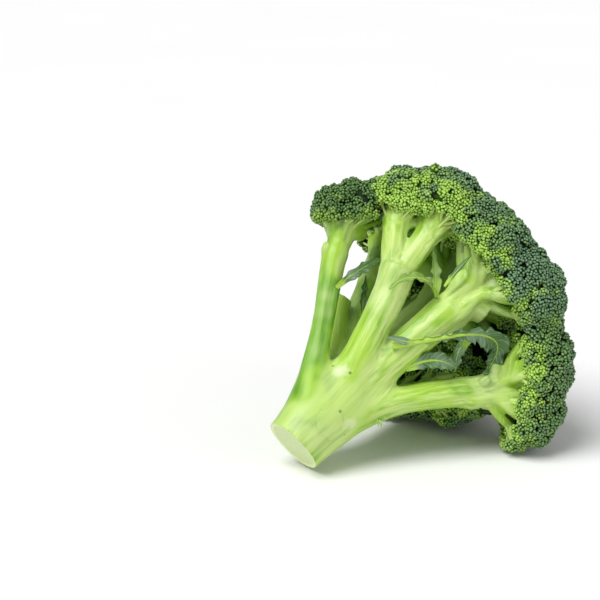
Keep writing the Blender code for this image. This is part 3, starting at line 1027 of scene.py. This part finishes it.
def streaked(tree, across, up, along):
    """Coordinates from these attributes in which any noise is drawn out along the stems."""
    inputs = {
        "X": attribute_of(tree, across),
        "Y": attribute_of(tree, up),
        "Z": product(tree, attribute_of(tree, along), 0.05),
    }
    return add_node(tree, "ShaderNodeCombineXYZ", inputs).outputs["Vector"]


def stem_material():
    """Smooth waxy skin with streaks along the stems and leaf scars, and paler moist flesh at the cut."""
    made, tree, shader = new_material("stem_skin")
    place = place_of(tree)
    green, steady, cut, rim = (attribute_of(tree, name) for name in ("green", "steady", "cut", "rim"))

    # Streaks: broad ones in two greens, then paler patches and joints, then fine threads and grooves
    fibres = streaked(tree, "across", "up", "along")
    fan = streaked(tree, "fan_across", "fan_up", "fan_along")
    fine = blended(tree, steady, noise_of(tree, fan, 0.9, 3, 0.6), noise_of(tree, fibres, 0.9, 3, 0.6))
    broad = blended(tree, steady, noise_of(tree, fan, 0.26, 2), noise_of(tree, fibres, 0.26, 2))
    patches = noise_of(tree, place, 38, 2)
    pale = mixed(tree, green, srgb(206, 226, 130), srgb(122, 174, 52))
    rich = mixed(tree, green, srgb(146, 193, 50), srgb(92, 147, 26))
    stripes = ranged(tree, broad, 0.4, 0.62)
    colour = mixed(tree, stripes, pale, rich)
    colour = mixed(tree, ranged(tree, patches, 0.46, 0.62, 0, 0.7), colour, srgb(168, 208, 62))
    colour = mixed(tree, ranged(tree, patches, 0.46, 0.3, 0, 0.45), colour, srgb(216, 232, 160))
    joints = ranged(tree, steady, 0.75, 0.2, 0, 0.3)
    colour = mixed(tree, joints, colour, srgb(220, 234, 166))
    smooth_foot = ranged(tree, attribute_of(tree, "fan_along"), 25, 65, 0.25, 1)
    quiet = product(tree, smooth_foot, ranged(tree, green, 0.3, 0.8, 1, 0.35))
    threads = product(tree, ranged(tree, fine, 0.5, 0.68, 0, 0.5), quiet)
    colour = mixed(tree, threads, colour, srgb(216, 234, 160))
    grooves = product(tree, ranged(tree, fine, 0.46, 0.3, 0, 0.5), quiet)
    colour = mixed(tree, grooves, colour, srgb(116, 166, 44))

    # Scars: the outlines of torn leaves, crumbly pale patches and dark dots
    wobbly = shaken(tree, place, 120, 0.0045)
    rings = marks(tree, wobbly, SCAR_RINGS, 0.08)
    inner = marks(tree, wobbly, [(point, radius - 0.5) for point, radius in SCAR_RINGS], 0.08)
    line = calculated(tree, "SUBTRACT", rings, inner)
    line = product(tree, line, ranged(tree, noise_of(tree, place, 150, 2), 0.38, 0.6))
    colour = mixed(tree, product(tree, inner, 0.14), colour, srgb(196, 216, 150))
    colour = mixed(tree, product(tree, line, 0.3), colour, srgb(126, 160, 56))
    scarred = product(tree, marks(tree, wobbly, PALE_PATCHES, 0.7), 0.6)
    crumbs = noise_of(tree, place, 1300, 3, 0.7)
    colour = mixed(tree, scarred, colour, mixed(tree, crumbs, srgb(206, 222, 160), srgb(232, 240, 208)))
    dots = marks(tree, place, DARK_DOTS, 0.6)
    colour = mixed(tree, product(tree, dots, 0.85), colour, srgb(70, 112, 38))

    # The cut: moist flesh with a paler ring inside its rim
    flesh = mixed(tree, noise_of(tree, place, 420, 3), srgb(188, 208, 140), srgb(214, 228, 172))
    ring = product(tree, ranged(tree, rim, 0.84, 0.9), ranged(tree, rim, 0.97, 0.92))
    flesh = mixed(tree, product(tree, ring, 0.8), flesh, srgb(228, 238, 186))
    colour = mixed(tree, cut, colour, flesh)
    feed(shader, {"Base Color": colour})
    feed(shader, {"Roughness": ranged(tree, fine, 0.3, 0.7, 0.34, 0.5)})
    relief = product(tree, fine, smooth_foot)
    relief = calculated(tree, "ADD", relief, product(tree, crumbs, scarred))
    relief = calculated(tree, "SUBTRACT", relief, product(tree, line, 0.8))
    feed(shader, {"Normal": bumped(tree, relief, 0.4, 0.0004)})
    shader.inputs["Subsurface Weight"].default_value = 0.1
    shader.inputs["Subsurface Radius"].default_value = (0.8, 1.0, 0.3)
    shader.inputs["Subsurface Scale"].default_value = 0.003
    return made


def leaf_material():
    """Grey-green leaves with a wax bloom, paler veins and yellow-green ribs."""
    made, tree, shader = new_material("leaf_skin")
    place = place_of(tree)
    run, edge, tone, breadth = (attribute_of(tree, name) for name in ("run", "edge", "tone", "breadth"))
    aside = calculated(tree, "ABSOLUTE", edge)
    slant = calculated(tree, "SUBTRACT", run, product(tree, aside, 4.5))
    wander = noise_of(tree, place, 260, 2)
    stroke = calculated(tree, "ADD", product(tree, slant, 0.36), wander)
    vein = calculated(tree, "PINGPONG", stroke, 0.5)
    veins = product(tree, ranged(tree, vein, 0.1, 0.02), breadth)
    fresh = mixed(tree, wander, srgb(156, 198, 58), srgb(192, 222, 88))
    blade = mixed(tree, noise_of(tree, place, 120, 3), srgb(48, 84, 42), srgb(96, 136, 84))
    colour = mixed(tree, ranged(tree, tone, 0.3, 0.75), fresh, blade)
    bloom = ranged(tree, noise_of(tree, place, 75, 3), 0.45, 0.7, 0, 0.65)
    colour = mixed(tree, product(tree, bloom, tone), colour, srgb(146, 172, 146))
    colour = mixed(tree, product(tree, veins, 0.6), colour, srgb(168, 196, 128))
    margin = product(tree, ranged(tree, aside, 0.86, 1.0, 0, 0.8), tone)
    colour = mixed(tree, margin, colour, srgb(40, 74, 34))
    feed(shader, {"Base Color": colour})
    feed(shader, {"Roughness": ranged(tree, wander, 0.3, 0.7, 0.42, 0.6)})
    relief = calculated(tree, "SUBTRACT", wander, product(tree, veins, 1.5))
    feed(shader, {"Normal": bumped(tree, relief, 0.4, 0.0003)})
    shader.inputs["Subsurface Weight"].default_value = 0.1
    shader.inputs["Subsurface Radius"].default_value = (0.6, 1.0, 0.2)
    shader.inputs["Subsurface Scale"].default_value = 0.001
    return made


# --- Stage, light and camera, in metres and degrees ---

FLOOR_SIZE = 8.0
FLOOR_DROP = 0.0002  # from the lowest point of the head down to the floor
SKY_STRENGTH = 0.4
KEY_STRENGTH = 2.8
KEY_SPREAD = 40.0  # the angle that the key light fills, for soft shadows
KEY_WAY = (0.5, 0.4, -1)
LIT_POINT = (0, 0, 0.07)
FILL_PLACE = (0.8, -0.7, 0.5)
FILL_SIZE = 0.8
FILL_POWER = 2.0
VIEW_RISE = 16.0
VIEW_ANGLE = 19.5
VIEW_POINT = (-0.0626, -0.0347, 0.0846)
VIEW_DISTANCE = 0.873


def floor_material():
    """Matt and nearly white."""
    made, tree, shader = new_material("pale_floor")
    place = place_of(tree)
    colour = mixed(tree, noise_of(tree, place, 3), (0.86,) * 3, (0.9,) * 3)
    feed(shader, {"Base Color": colour})
    shader.inputs["Roughness"].default_value = 0.9
    return made


def add_stage():
    """The plain floor under the head."""
    made = bmesh.new()
    bmesh.ops.create_grid(made, x_segments=2, y_segments=2, size=FLOOR_SIZE / 2)
    mesh = mesh_of(made, "floor")
    mesh.materials.append(floor_material())
    floor = bpy.data.objects.new("floor", mesh)
    floor.location.z = CAD_BOX[0].z - FLOOR_DROP
    bpy.context.scene.collection.objects.link(floor)


def add_light(name, kind, place, way, strength):
    """A light that shines this way; the caller sets how wide it is."""
    light = bpy.data.lights.new(name, kind)
    light.energy = strength
    lamp = bpy.data.objects.new(name, light)
    lamp.location = place
    lamp.rotation_euler = Vector(way).to_track_quat("-Z", "Y").to_euler()
    bpy.context.scene.collection.objects.link(lamp)
    return light


def add_lights():
    """A wide key light from the upper left, a weak fill from the right and an even sky."""
    world = bpy.data.worlds.new("studio")
    world.use_nodes = True
    world.node_tree.nodes["Background"].inputs["Color"].default_value = (1, 1, 1, 1)
    world.node_tree.nodes["Background"].inputs["Strength"].default_value = SKY_STRENGTH
    bpy.context.scene.world = world
    bpy.context.scene.view_settings.view_transform = "Standard"
    fill = add_light("fill", "AREA", FILL_PLACE, Vector(LIT_POINT) - Vector(FILL_PLACE), FILL_POWER)
    fill.size = FILL_SIZE
    key = add_light("key", "SUN", (0, 0, 0), KEY_WAY, KEY_STRENGTH)
    key.angle = math.radians(KEY_SPREAD)


def add_camera():
    """The camera, which looks down at the head's near side."""
    data = bpy.data.cameras.new("camera")
    data.angle = math.radians(VIEW_ANGLE)
    camera = bpy.data.objects.new("camera", data)
    rise = math.radians(VIEW_RISE)
    back = Vector((0, -math.cos(rise), math.sin(rise)))
    camera.location = Vector(VIEW_POINT) + back * VIEW_DISTANCE
    camera.rotation_euler = (math.radians(90 - VIEW_RISE), 0, 0)
    bpy.context.scene.collection.objects.link(camera)
    bpy.context.scene.camera = camera


def main():
    chance = np.random.default_rng(SEED)
    bud_skin = bud_material()
    stem_skin = stem_material()
    bud = bud_mesh()
    sprigs = [sprig_mesh(bud, count, chance) for count in SPRIG_COUNTS]
    routes = trunk_routes()
    strands, pedicels, taken = [], [], []
    for name in FLORETS:
        lobes = spread_directions(LOBE_COUNT, outward_of(name), LOBE_REACH, chance.uniform(0, 6.28))
        places = sprig_places(name, lobes, taken, chance)
        floret_piece(name, lobes, places, sprigs, bud_skin, chance)
        own_strands = strand_routes(name, lobes, chance)
        strands += own_strands
        pedicels += pedicel_routes(own_strands, lobes, name, places, chance)
    stem_piece(routes, strands, stem_skin)
    add_piece("pedicels", tubes_mesh("pedicels", pedicels, 1), stem_skin, "stem_green")
    add_leaves(leaf_material(), stem_skin, chance)
    add_stage()
    add_lights()
    add_camera()


main()
